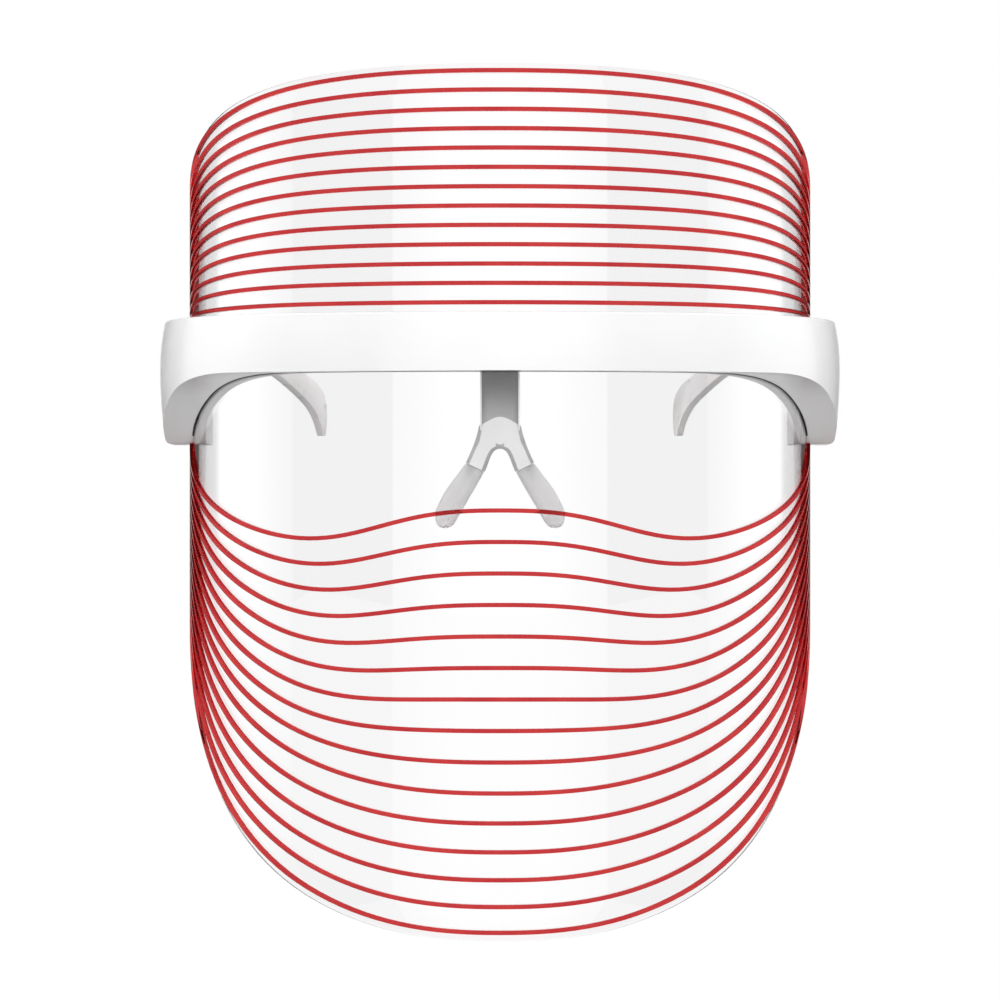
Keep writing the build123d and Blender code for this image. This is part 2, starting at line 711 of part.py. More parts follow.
with BuildSketch(Plane.YZ) as temple_side:
    with BuildLine():
        neck = hinge_point.Y + knuckle_radius + 1.5
        low_neck = Polyline(
            (hinge_point.Y, knuckle_low),
            (neck, knuckle_low),
            (neck + 0.8, hinge_bottom + 0.4),
        )
        inner_hook = Spline(
            low_neck @ 1,
            (temple_tip_y - 50, hinge_bottom + 1.2),
            (temple_tip_y - 35, hinge_bottom - 0.3),
            (temple_tip_y - 23.5, temple_tip_z + 15.0),
            (temple_tip_y - 14, temple_tip_z + 11.2),
            (temple_tip_y - 8, temple_tip_z + 7.7),
            (temple_tip_y - 4.6, temple_tip_z + 4.2),
            (temple_tip_y - 2.6, temple_tip_z + 0.7),
            tangents=[(1, 0), (0.45, -1)],
        )
        tip = Spline(
            inner_hook @ 1,
            (temple_tip_y - 1.7, temple_tip_z),
            (temple_tip_y - 0.2, temple_tip_z + 3.4),
            tangents=[(0.45, -1), (0.15, 1)],
        )
        outer_hook = Spline(
            tip @ 1,
            (temple_tip_y - 0.1, temple_tip_z + 8.6),
            (temple_tip_y - 1.2, temple_tip_z + 12.2),
            (temple_tip_y - 3.9, temple_tip_z + 15.1),
            (temple_tip_y - 8.3, temple_tip_z + 17.3),
            (temple_tip_y - 15, hinge_top - 10.9),
            (temple_tip_y - 30, hinge_top - 7.0),
            (temple_tip_y - 48, hinge_top - 3.2),
            (neck + 0.8, hinge_top - 0.2),
            tangents=[(0.15, 1), (-1, 0)],
        )
        Polyline(
            outer_hook @ 1,
            (neck, knuckle_high),
            (hinge_point.Y, knuckle_high),
            (hinge_point.Y, knuckle_low),
        )
    make_face()


def temple_point(turn, outset):
    """The point at an angle round the temple's plan arc, moved outwards."""
    angle = math.radians(temple_start_angle + turn)
    reach = temple_radius + outset
    return temple_centre[0] + reach * math.cos(angle), temple_centre[1] + reach * math.sin(angle)


with BuildPart() as left_temple:
    with BuildSketch(Plane.XY):
        with BuildLine():
            outset = temple_tip_thickness / 2
            past_tip = temple_turn + 1.5
            middle_inset = outset - (temple_hinge_thickness + temple_tip_thickness) / 2
            outer_arc = CenterArc(temple_centre, temple_radius + outset, temple_start_angle, past_tip)
            inner_arc = ThreePointArc(
                temple_point(0, outset - temple_hinge_thickness),
                temple_point(past_tip / 2, middle_inset),
                temple_point(past_tip, outset - temple_tip_thickness),
            )
            Line(outer_arc @ 0, inner_arc @ 0)
            Line(outer_arc @ 1, inner_arc @ 1)
        make_face()
    extrude(amount=hinge_top + 5)
    extrude(temple_side.sketch, amount=rear_x, both=True, mode=Mode.INTERSECT)
    with BuildSketch(Plane.XY.offset(knuckle_low)):
        with Locations(hinge_place):
            Circle(knuckle_radius)
    extrude(amount=knuckle_high - knuckle_low)
    with BuildSketch(Plane.XY.offset(knuckle_low)):
        with Locations(hinge_place):
            Circle(hinge_pin_radius + clearance)
    extrude(amount=knuckle_high - knuckle_low, mode=Mode.SUBTRACT)
save(left_temple, "left_temple")
save(mirrored(left_temple), "right_temple")

with BuildPart() as left_pin:
    with BuildSketch(Plane.XY.offset(hinge_bottom)):
        with Locations(hinge_place):
            Circle(hinge_pin_radius)
    extrude(amount=hinge_top - hinge_bottom)
    with BuildSketch(Plane.XY.offset(hinge_top)):
        with Locations(hinge_place):
            Circle(pin_head_radius)
    extrude(amount=pin_head_height)
save(left_pin, "left_hinge_pin")
save(mirrored(left_pin), "right_hinge_pin")

# ---------------------------------------------------------------- screws
with BuildPart() as cover_screws:
    add(rods(cover_screw_planes, screw_radius, band_face + screw_head_height / 2, screw_bite))
    add(rods(cover_screw_planes, screw_head_radius, band_face, band_face + screw_head_height))
    add(rods(cover_screw_planes, screw_radius / 2, band_face - 1, band_face + 0.6), mode=Mode.SUBTRACT)
save(cover_screws, "cover_screws")

bridge_back = shield_front - (bridge_front + bridge_thickness)
with BuildPart() as bridge_screws:
    add(rods(bridge_screw_planes, screw_radius, bridge_back - screw_head_height / 2, screw_bite))
    head_top = bridge_back - 2 * clearance
    add(rods(bridge_screw_planes, screw_head_radius, head_top - screw_head_height, head_top))
save(bridge_screws, "bridge_screws")

# ---------------------------------------------------------------- electronics in the blocks
led_rows = [board_low + 0.6, board_low + led_board_size[1] - led_size[1] - 0.6]
led_pitch = (led_board_size[0] - led_size[0] - 1) / (led_count - 1)

with BuildPart() as left_leds:
    for low in led_rows:
        for index in range(led_count):
            place = board_start + 0.5 + led_pitch * index
            add(side_box(place, led_size[0], low, led_size[1], 2 * clearance, led_size[2]))
save(left_leds, "left_leds")
save(mirrored(left_leds), "right_leds")

with BuildPart() as left_led_board:
    long, high, thick = led_board_size
    add(side_box(board_start, long, board_low, high, led_top, thick))
save(left_led_board, "left_led_board")
save(mirrored(left_led_board), "right_led_board")

with BuildPart() as battery:
    long, high, thick = battery_size
    add(side_box(battery_start, long, board_low + 1, high, stack_out, thick))
    fillet(battery.edges(), 0.8)
save(battery, "battery")

with BuildPart() as control_side:
    long, high, thick = control_board_size
    add(side_box(board_start, long, board_low, high, stack_out, thick))
    for chip_low in (board_low + 8.5, board_low + 21.5):
        add(side_box(board_start + 3.5, chip_size[0], chip_low, chip_size[1], control_out, chip_size[2]))
save(mirrored(control_side), "control_board")

with BuildPart() as switch_side:
    long, high, thick = switch_size
    switch_in = control_out + clearance
    add(side_box(button_at - long / 2, long, button_z - high / 2, high, switch_in, thick))
save(mirrored(switch_side), "button_switch")
switch_out = switch_in + switch_size[2]

with BuildPart() as socket_side:
    with BuildSketch(socket_plane):
        with Locations(socket_centre):
            SlotOverall(socket_size[0], socket_size[1])
    extrude(amount=socket_length)
    with BuildSketch(socket_plane):
        with Locations(socket_centre):
            SlotOverall(socket_size[0] - 2 * socket_wall, socket_size[1] - 2 * socket_wall)
    extrude(amount=socket_length - 1, mode=Mode.SUBTRACT)
    with BuildSketch(socket_plane.offset(1)):
        with Locations(socket_centre):
            Rectangle(socket_size[0] - 2.4, 0.7)
    extrude(amount=socket_length - 1)
save(mirrored(socket_side), "charging_socket")

with BuildPart() as button_side:
    with BuildSketch(side_plane.offset(switch_out + button_travel + clearance)):
        with Locations(button_centre):
            Circle(button_size[1] / 2 - 1)
    extrude(amount=button_wall - switch_out - button_travel - clearance)
    with BuildSketch(side_plane.offset(button_wall - clearance - button_flange_thickness)):
        with Locations(button_centre):
            SlotOverall(button_size[0] + 2 * button_flange, button_size[1] + 2 * button_flange, rotation=90)
    extrude(amount=button_flange_thickness)
    with BuildSketch(side_plane.offset(button_wall - clearance)):
        with Locations(button_centre):
            SlotOverall(button_size[0], button_size[1], rotation=90)
    extrude(amount=wall_out - button_wall)
save(mirrored(button_side), "power_button")

# ---------------------------------------------------------------- flat cable through the bar
flex_end = side_plane.from_local_coords(Vector(board_start + flex_overlap, 0, 0)).Y
flex_inside = control_out + clearance
with BuildPart() as flex_cable:
    with BuildSketch(Plane.XY.offset(flex_low)):
        add(strip(shield_curve, flex_inside + flex_thickness, shield_curve, flex_inside, flex_end))
    extrude(amount=flex_height)
save(flex_cable, "flex_cable")
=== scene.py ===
import math

import bmesh
import bpy
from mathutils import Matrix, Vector


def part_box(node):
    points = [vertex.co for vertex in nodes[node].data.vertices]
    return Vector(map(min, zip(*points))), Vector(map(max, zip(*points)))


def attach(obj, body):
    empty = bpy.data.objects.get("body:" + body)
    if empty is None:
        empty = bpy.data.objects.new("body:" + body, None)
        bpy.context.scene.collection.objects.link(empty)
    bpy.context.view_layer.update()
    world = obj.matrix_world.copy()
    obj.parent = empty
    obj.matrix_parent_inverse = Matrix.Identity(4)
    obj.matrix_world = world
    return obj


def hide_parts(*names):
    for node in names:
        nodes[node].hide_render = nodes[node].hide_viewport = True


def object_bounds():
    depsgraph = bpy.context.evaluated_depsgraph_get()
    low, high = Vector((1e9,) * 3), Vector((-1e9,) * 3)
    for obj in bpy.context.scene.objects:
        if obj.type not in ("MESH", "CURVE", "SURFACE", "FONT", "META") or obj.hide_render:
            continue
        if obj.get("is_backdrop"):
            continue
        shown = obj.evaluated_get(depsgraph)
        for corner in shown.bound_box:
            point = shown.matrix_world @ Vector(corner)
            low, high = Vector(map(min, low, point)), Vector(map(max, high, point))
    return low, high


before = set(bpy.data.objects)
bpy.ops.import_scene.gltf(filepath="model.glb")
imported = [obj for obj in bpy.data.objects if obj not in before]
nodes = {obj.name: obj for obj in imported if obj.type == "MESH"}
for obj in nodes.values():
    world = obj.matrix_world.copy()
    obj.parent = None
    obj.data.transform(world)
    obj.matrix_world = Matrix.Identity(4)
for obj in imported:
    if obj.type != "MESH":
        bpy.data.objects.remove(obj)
cad_low, cad_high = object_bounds()

# ---------------------------------------------------------------- camera
# Level with the cheeks, one metre in front of the clear sheet, and looking straight back.
shield_low, shield_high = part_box("light_shield")
sheet_front = shield_low[1]
camera_distance = 1.0
camera_height = -0.0144
camera = bpy.data.cameras.new("camera")
camera.lens = 130.3
camera.sensor_width = 36
camera.clip_end = 50
camera_place = bpy.data.objects.new("camera", camera)
camera_place.location = (0, sheet_front - camera_distance, camera_height)
camera_place.rotation_euler = (math.radians(90), 0, 0)
bpy.context.scene.collection.objects.link(camera_place)
bpy.context.scene.camera = camera_place

# ---------------------------------------------------------------- studio
# A white room. Its reflections are brightest ahead and at the sides, with a dark gap between on each side,
# which shows as a grey band on the clear sheet, and a dark ring behind, which outlines glossy pieces.
bpy.context.scene.view_settings.view_transform = "Standard"
bpy.context.scene.view_settings.look = "None"


class Wire:
    """An output in a node tree. Sums and products of wires add Math nodes, and node() adds any other."""

    def __init__(self, socket):
        self.socket = socket

    def node(self, kind, settings=None, inputs=None, output=0):
        tree = self.socket.id_data
        made = tree.nodes.new(kind)
        for name, value in (settings or {}).items():
            if name == "stops":
                stops = made.color_ramp.elements
                while len(stops) < len(value):
                    stops.new(0.5)
                for stop, (place, shade) in zip(stops, value):
                    stop.position = place
                    stop.color = shade if len(shade) == 4 else (*shade, 1)
            else:
                setattr(made, name, value)
        for name, value in (inputs or {}).items():
            if isinstance(value, Wire):
                tree.links.new(value.socket, made.inputs[name])
            else:
                made.inputs[name].default_value = value
        return Wire(made.outputs[output])

    def math(self, operation, *values):
        return self.node("ShaderNodeMath", {"operation": operation}, dict(enumerate(values)))

    def __add__(self, other):
        return self.math("ADD", self, other)

    def __radd__(self, other):
        return self.math("ADD", other, self)

    def __sub__(self, other):
        return self.math("SUBTRACT", self, other)

    def __rsub__(self, other):
        return self.math("SUBTRACT", other, self)

    def __mul__(self, other):
        return self.math("MULTIPLY", self, other)

    def __rmul__(self, other):
        return self.math("MULTIPLY", other, self)

    def __truediv__(self, other):
        return self.math("DIVIDE", self, other)

    def clamped(self, low, high, to_low=0.0, to_high=1.0):
        """Smoothly from to_low where this is low to to_high where it is high."""
        ends = {"Value": self, "From Min": low, "From Max": high, "To Min": to_low, "To Max": to_high}
        return self.node("ShaderNodeMapRange", {"interpolation_type": "SMOOTHSTEP"}, ends)

    def mix(self, first, second):
        """first where this is 0 and second where it is 1, both colours."""
        return self.node("ShaderNodeMix", {"data_type": "RGBA"}, {0: self, 6: first, 7: second}, 2)

    def split(self):
        return [self.node("ShaderNodeSeparateXYZ", None, {0: self}, axis) for axis in range(3)]


room = bpy.data.worlds.new("studio")
room.use_nodes = True
bpy.context.scene.world = room
sky = room.node_tree.nodes["Background"]
direction = Wire(room.node_tree.nodes.new("ShaderNodeTexCoord").outputs["Generated"])
east, north, up = direction.split()
turn = east.math("ABSOLUTE", east).math("ARCTAN2", east.math("ABSOLUTE", east), north * -1)
centre = turn.clamped(0.15, 0.43, 1.45, 0.8) * turn.clamped(0.425, 0.435, 1, 0)
sides = turn.clamped(1.0, 1.6, 0.45, 1.4) * turn.clamped(1.03, 1.05)
ring = north.clamped(0.42, 0.56, 1, 0)
behind = north.clamped(0.955, 0.97)
below = up.clamped(-0.6, -0.05, 1, 0)
seen = (centre + sides) * (1 - below * 0.5) * ring * (1 - behind) + behind + 0.1 * (1 - behind)
rays = {
    name: direction.node("ShaderNodeLightPath", None, None, name)
    for name in ("Is Camera Ray", "Is Transmission Ray", "Glossy Depth", "Diffuse Depth")
}
unturned = rays["Is Transmission Ray"] * rays["Glossy Depth"].clamped(0, 1, 1, 0)
inside = unturned * rays["Diffuse Depth"].clamped(0, 1)
plain = rays["Is Camera Ray"] + unturned * (1 - inside)
soft = north.clamped(-0.8, 0.3, 2.8, 1.7) * (1 - below * 0.45)
light = seen * (1 - plain) * (1 - inside) + soft * inside + plain
room.node_tree.links.new(light.socket, sky.inputs["Strength"])
sky.inputs["Color"].default_value = (1, 1, 1, 1)

floor_drop = 0.10
floor_mesh = bpy.data.meshes.new("floor")
floor_half = 6.0
floor_z = cad_low[2] - floor_drop
corners = [(x, y, floor_z) for x, y in ((-1, -1), (1, -1), (1, 1), (-1, 1))]
floor_mesh.from_pydata([(x * floor_half, y * floor_half, z) for x, y, z in corners], [], [(0, 1, 2, 3)])
floor = bpy.data.objects.new("floor", floor_mesh)
bpy.context.scene.collection.objects.link(floor)
floor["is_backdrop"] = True
floor.visible_diffuse = False
floor.visible_glossy = False
floor_paint = bpy.data.materials.new("floor_paint")
floor_paint.use_nodes = True
floor_shader = floor_paint.node_tree.nodes["Principled BSDF"]
floor_shader.inputs["Base Color"].default_value = (0.02, 0.02, 0.02, 1)
floor_shader.inputs["Roughness"].default_value = 0.9
floor_shader.inputs["Specular IOR Level"].default_value = 0.0
floor_shader.inputs["Emission Color"].default_value = (1, 1, 1, 1)
floor_shader.inputs["Emission Strength"].default_value = 0.985
floor_mesh.materials.append(floor_paint)


def soft_box(name, place, aim, width, height, power):
    light = bpy.data.lights.new(name, "AREA")
    light.shape = "RECTANGLE"
    light.size = width
    light.size_y = height
    light.energy = power
    lamp = bpy.data.objects.new(name, light)
    lamp.location = place
    lamp.rotation_euler = (Vector(aim) - Vector(place)).to_track_quat("-Z", "Y").to_euler()
    lamp.visible_glossy = False
    lamp.visible_transmission = False
    bpy.context.scene.collection.objects.link(lamp)


soft_box("top_box", (0, -0.4, 1.6), (0, 0, 0), 1.6, 1.0, 5)
soft_box("front_box", (0, -2.4, 0.4), (0, 0, 0), 1.6, 1.4, 26)
soft_box("left_box", (2.0, -0.6, 0.3), (0, 0, 0), 1.2, 1.4, 5)
soft_box("right_box", (-2.0, -0.6, 0.3), (0, 0, 0), 1.2, 1.4, 5)
soft_box("back_box", (0, 0.6, 0.9), (0, 0.07, 0), 1.4, 0.8, 8)

# ---------------------------------------------------------------- clear shield
# One sheet of clear polycarbonate, 1.5 mm thick, bent about upright axes: a front arc, two corner arcs and
# two flared sides. Its edge is polished, and it is clamped between the frame and the inner band.
mm = 0.001
front_radius = 150 * mm
corner_radius = 60 * mm
half_width = 90 * mm
flare = math.radians(3)
sheet = 1.5 * mm
sheet_length = 145 * mm
reach = front_radius - corner_radius
corner_x = half_width - corner_radius
corner_y = sheet_front + front_radius - math.sqrt(reach**2 - corner_x**2)
turn_start = math.asin(corner_x / reach)
turn_end = math.pi / 2 - flare
arc_end = front_radius * turn_start
side_start = arc_end + corner_radius * (turn_end - turn_start)


def on_sheet(along, outset=0.0):
    """The point at a length along the sheet from its middle, moved outwards, and its outward direction."""
    side = -1 if along < 0 else 1
    along = abs(along)
    if along < arc_end:
        angle = along / front_radius
        x, y = front_radius * math.sin(angle), sheet_front + front_radius * (1 - math.cos(angle))
    else:
        angle = min(turn_end, turn_start + (along - arc_end) / corner_radius)
        run = max(0.0, along - side_start)
        x = corner_x + corner_radius * math.sin(angle) + run * math.sin(flare)
        y = corner_y - corner_radius * math.cos(angle) + run * math.cos(flare)
    out = Vector((side * math.sin(angle), -math.cos(angle), 0))
    return Vector((side * x, y, 0)) + out * outset, out


# An edge or a line falls as (1 - share**fall) ** (1 / order). A pair is a first value and its change
# from the first line of a set to the last.
upper_fall = (2.73, 1.04)
upper_order = (1.78, 0.32)
lower_fall = (2.775, -0.316)
lower_order = 1.12
cheek_rise = 12.05 * mm
cheek_width = 42.6 * mm
cheek_share = 0.604
cheek_fade = 0.785
frame_top = 37.5 * mm
block_bottom = 2.1 * mm


def upper_height(along, middle, end, foot, place):
    """Height of a brow line, or of the top edge. place runs from 0 at the top to 1 at the last line."""
    share = min(1.0, abs(along) / end)
    fall = upper_fall[0] + upper_fall[1] * place
    order = upper_order[0] + upper_order[1] * place
    return foot + (middle - foot) * (1 - share**fall) ** (1 / order)


def lower_height(along, middle, end, foot, place):
    """Height of a cheek line, or of the bottom edge. place is 0 at the first line and 1 at the last."""
    share = min(1.0, abs(along) / end)
    rise = cheek_rise * max(0.0, 1 - place / cheek_share) ** cheek_fade
    steepness = lower_fall[0] + lower_fall[1] * place
    fall = (middle - rise - foot) * (1 - share**steepness) ** (1 / lower_order)
    return foot + fall + rise * math.exp(-((abs(along) / cheek_width) ** 3)) * (1 - share**2)


def steps_along(end, count):
    """Lengths from one end of the sheet to the other, closer together where the lines turn to the frame."""
    half = [end * math.sin(math.pi / 2 * k / count) for k in range(count + 1)]
    return [-a for a in reversed(half[1:])] + half


def new_piece(name, vertices, faces, smooth=True):
    mesh = bpy.data.meshes.new(name)
    mesh.from_pydata(vertices, [], faces)
    mesh.update()
    for face in mesh.polygons:
        face.use_smooth = smooth
    piece = bpy.data.objects.new(name, mesh)
    bpy.context.scene.collection.objects.link(piece)
    return piece


def add_bevel(piece, width, segments=3, angle=40):
    bevel = piece.modifiers.new("bevel", "BEVEL")
    bevel.width = width
    bevel.segments = segments
    bevel.limit_method = "ANGLE"
    bevel.angle_limit = math.radians(angle)
    bevel.harden_normals = False
    return bevel


shield_top = shield_high[2]
shield_bottom = shield_low[2]
columns = steps_along(sheet_length, 60)
rows = 24
shield_points = []
for outset in (0.0, -sheet):
    for along in columns:
        high = upper_height(along, shield_top, sheet_length, frame_top, 0)
        low = lower_height(along, shield_bottom, sheet_length, block_bottom, 1)
        place, _ = on_sheet(along, outset)
        for row in range(rows + 1):
            shield_points.append((place.x, place.y, low + (high - low) * row / rows))

count = len(columns)
back = count * (rows + 1)
shield_faces = []
for i in range(count - 1):
    for j in range(rows):
        a = i * (rows + 1) + j
        b = a + rows + 1
        shield_faces.append((a, b, b + 1, a + 1))
        shield_faces.append((back + a, back + a + 1, back + b + 1, back + b))
    low, low_next = i * (rows + 1), (i + 1) * (rows + 1)
    shield_faces.append((low, back + low, back + low_next, low_next))
    high, high_next = low + rows, low_next + rows
    shield_faces.append((high, high_next, back + high_next, back + high))
for j in range(rows):
    shield_faces.append((j, j + 1, back + j + 1, back + j))
    last = (count - 1) * (rows + 1) + j
    shield_faces.append((last, back + last, back + last + 1, last + 1))
shield = new_piece("clear_shield", shield_points, shield_faces)
add_bevel(shield, 0.3 * mm, 2, 50)
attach(shield, "mask")
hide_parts("light_shield")


def new_finish(name, colour, roughness, **fixed):
    """A material with its fixed values on the shader's own sockets, and the piece's coordinates."""
    finish = bpy.data.materials.new(name)
    finish.use_nodes = True
    shader = finish.node_tree.nodes["Principled BSDF"]
    shader.inputs["Base Color"].default_value = (*colour, 1)
    shader.inputs["Roughness"].default_value = roughness
    for socket, value in fixed.items():
        shader.inputs[socket.replace("_", " ")].default_value = value
    place = Wire(finish.node_tree.nodes.new("ShaderNodeTexCoord").outputs["Object"])
    return finish, shader, place


def drive(shader, socket, wire):
    """Feeds one of the shader's sockets with what changes over the surface."""
    shader.id_data.links.new(wire.socket, shader.inputs[socket])


def bump(place, height, strength, distance):
    depths = {"Height": height, "Strength": strength, "Distance": distance}
    return place.node("ShaderNodeBump", None, depths)


def noise(place, scale, detail=3.0):
    return place.node("ShaderNodeTexNoise", None, {"Vector": place, "Scale": scale, "Detail": detail}, "Fac")


def mottled(pattern, first, second, low=0.3, high=0.7):
    """A colour that drifts between two near ones as a pattern does."""
    return pattern.clamped(low, high).mix((*first, 1), (*second, 1))


clear_sheet, shader, place = new_finish(
    "clear_polycarbonate", (0.96, 0.96, 0.962), 0.0, Transmission_Weight=1.0, IOR=1.53
)
smears = noise(place, 14, 2).clamped(0.45, 0.75)
drive(shader, "Roughness", smears * 0.02)
shield.data.materials.append(clear_sheet)

# ---------------------------------------------------------------- light lines
# Flat light guides of clear red film bonded to the front of the sheet, each lit from both ends by the LEDs
# in the blocks. They are see-through, so they darken where a grey piece lies behind them.
line_width = 1.25 * mm
line_height = 1.05 * mm
line_clearance = 0.05 * mm
upper_count = 13
upper_first = 104.3 * mm
upper_pitch = 5.34 * mm
lower_count = 15
lower_first = -17.3 * mm
lower_pitch = 8.7 * mm
lower_tighten = 0.1435 * mm
line_end_first = 121 * mm
line_end_last = 142.5 * mm
line_rest = 0.2 * mm


def light_line(height_at, end, vertices, faces):
    """One line as a flat strip with thin edges that follows its path on the front of the sheet."""
    path = steps_along(end, 64)
    start = len(vertices)
    rounded_side = [(1, 0), (0.96, 0.8), (0.84, 1)]
    section = rounded_side + [(-across, lift) for across, lift in reversed(rounded_side)]
    around = len(section)
    for index, along in enumerate(path):
        before, after = path[max(0, index - 1)], path[min(len(path) - 1, index + 1)]
        first, _ = on_sheet(before)
        last, _ = on_sheet(after)
        first.z, last.z = height_at(before), height_at(after)
        point, out = on_sheet(along, line_clearance)
        point.z = height_at(along)
        ahead = (last - first).normalized()
        if index in (0, len(path) - 1):
            ahead = Vector((0, 0, math.copysign(1, last.z - first.z)))
        across = out.cross(ahead).normalized()
        for side, lift in section:
            vertices.append(point + across * (side * line_width / 2) + out * (lift * line_height))
    for index in range(len(path) - 1):
        for k in range(around):
            a = start + index * around + k
            b = start + index * around + (k + 1) % around
            faces.append((a, b, b + around, a + around))
    faces.append(tuple(start + k for k in reversed(range(around))))
    last_ring = start + (len(path) - 1) * around
    faces.append(tuple(last_ring + k for k in range(around)))


upper_vertices, upper_faces = [], []
for index in range(upper_count):
    share = index / (upper_count - 1)
    end = line_end_last - (line_end_last - line_end_first) * share
    middle = upper_first - upper_pitch * index
    foot = frame_top + line_rest
    light_line(lambda a: upper_height(a, middle, end, foot, share), end, upper_vertices, upper_faces)
brow_lines = new_piece("brow_light_lines", upper_vertices, upper_faces)

lower_vertices, lower_faces = [], []
for index in range(lower_count):
    share = index / (lower_count - 1)
    end = line_end_first + (line_end_last - line_end_first) * share
    middle = lower_first - lower_pitch * index + lower_tighten * max(0, index - 8) ** 2
    foot = block_bottom - line_rest
    light_line(lambda a: lower_height(a, middle, end, foot, share), end, lower_vertices, lower_faces)
cheek_lines = new_piece("cheek_light_lines", lower_vertices, lower_faces)

red_film, shader, place = new_finish(
    "clear_red_film", (0.59, 0.05, 0.055), 0.0, Transmission_Weight=1.0, IOR=1.08, Emission_Strength=0.02
)
tint = noise(place, 90, 3).clamped(0.3, 0.7)
drive(shader, "Base Color", tint.mix((0.55, 0.044, 0.050, 1), (0.62, 0.058, 0.058, 1)))
drive(shader, "Emission Color", tint.mix((0.60, 0.02, 0.02, 1), (0.68, 0.05, 0.03, 1)))
for piece, node in ((brow_lines, "upper_light_lines"), (cheek_lines, "lower_light_lines")):
    piece.data.materials.append(red_film)
    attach(piece, "mask")
    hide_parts(node)

# ---------------------------------------------------------------- frame shell
# The brow bar and its two blocks are one hollow moulding of glossy white ABS, screwed to the inner band. Its
# outer side is crowned, its top edge is rounded, and the arch under each end of the bar is cut crisp.
white_gloss, shader, place = new_finish("white_gloss_moulding", (0.84, 0.84, 0.84), 0.2)
cloud = noise(place, 35, 3)
drive(shader, "Base Color", mottled(cloud, (0.825, 0.827, 0.83), (0.85, 0.85, 0.848)))
drive(shader, "Roughness", noise(place, 160, 4).clamped(0.3, 0.7, 0.16, 0.27))
drive(shader, "Normal", bump(place, noise(place, 1400, 2), 0.04, 0.00004))


def finish_node(name, finish):
    """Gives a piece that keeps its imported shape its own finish."""
    nodes[name].data.materials.clear()
    nodes[name].data.materials.append(finish)


finish_node("frame_shell", white_gloss)

# ---------------------------------------------------------------- painted shadow line
# A thin black strip along the joint between the frame and the front of the sheet, put there as painted
# shadow. Its edge shows as a dark line under the bar and round the arch above each block, where the gap and
# the frame's underside lie in shade.
shadow_strip_width = 1.2 * mm
shadow_strip_show = 0.12 * mm
shadow_strip_thickness = 0.35 * mm
shadow_strip_lift = 0.02 * mm
bar_bottom = 21.2 * mm
arch_knee = 4.8 * mm
arch_foot = 43.0 * mm
arch_radius = 54.0 * mm
shadow_strip_end = 118 * mm
arch_slope = math.atan2(bar_bottom - block_bottom, arch_foot - arch_knee)
knee_run = arch_radius * math.tan(arch_slope / 2)


def frame_edge(y):
    """Height of the frame's lower edge: level along the bar, round the knee, then straight down the arch."""
    if y < arch_knee - knee_run:
        return bar_bottom
    if y < arch_knee + knee_run * math.cos(arch_slope):
        past = y - arch_knee + knee_run
        return bar_bottom - arch_radius + math.sqrt(arch_radius**2 - past**2)
    return max(block_bottom, bar_bottom - (y - arch_knee) * math.tan(arch_slope))


shadow_strip_points, shadow_strip_faces = [], []
shadow_strip_steps = 150
shadow_strip_path = [shadow_strip_end * k / shadow_strip_steps for k in range(-shadow_strip_steps, shadow_strip_steps + 1)]
for along in shadow_strip_path:
    inside, _ = on_sheet(along, shadow_strip_lift)
    outside, _ = on_sheet(along, shadow_strip_thickness)
    edge = frame_edge(inside.y)
    for point, height in (
        (inside, edge + shadow_strip_width),
        (inside, edge - shadow_strip_show),
        (outside, edge - shadow_strip_show),
        (outside, edge + shadow_strip_width),
    ):
        shadow_strip_points.append((point.x, point.y, height))
for i in range(len(shadow_strip_path) - 1):
    for k in range(4):
        a, b = 4 * i + k, 4 * i + (k + 1) % 4
        shadow_strip_faces.append((a, a + 4, b + 4, b))
shadow_strip_faces.append((0, 1, 2, 3))
shadow_strip_faces.append(tuple(4 * (len(shadow_strip_path) - 1) + k for k in (3, 2, 1, 0)))
shadow_strip = new_piece("painted_shadow_strip", shadow_strip_points, shadow_strip_faces, smooth=False)
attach(shadow_strip, "mask")
# Painted shadow: near black with a fine grain, for the shade in the joint.
shadow_strip_paint, shader, place = new_finish("painted_shadow_black", (0.012, 0.012, 0.013), 0.6)
grain = noise(place, 900, 4)
drive(shader, "Base Color", mottled(grain, (0.008, 0.008, 0.009), (0.02, 0.02, 0.021)))
drive(shader, "Roughness", grain.clamped(0.2, 0.8, 0.5, 0.75))
drive(shader, "Normal", bump(place, grain, 0.3, 0.00005))
shadow_strip.data.materials.append(shadow_strip_paint)

# ---------------------------------------------------------------- inner band
# The frame's inner half clamps the sheet from behind. It is a satin white moulding, screwed into the
# shell's bosses, and carries two hinge lugs at each end.
white_satin, shader, place = new_finish("white_satin_moulding", (0.9, 0.9, 0.9), 0.4)
cloud = noise(place, 45, 3)
drive(shader, "Base Color", mottled(cloud, (0.87, 0.872, 0.875), (0.905, 0.905, 0.903)))
drive(shader, "Roughness", noise(place, 300, 3).clamped(0.3, 0.7, 0.34, 0.48))
drive(shader, "Normal", bump(place, noise(place, 2600, 2), 0.12, 0.00004))
finish_node("inner_band", white_satin)

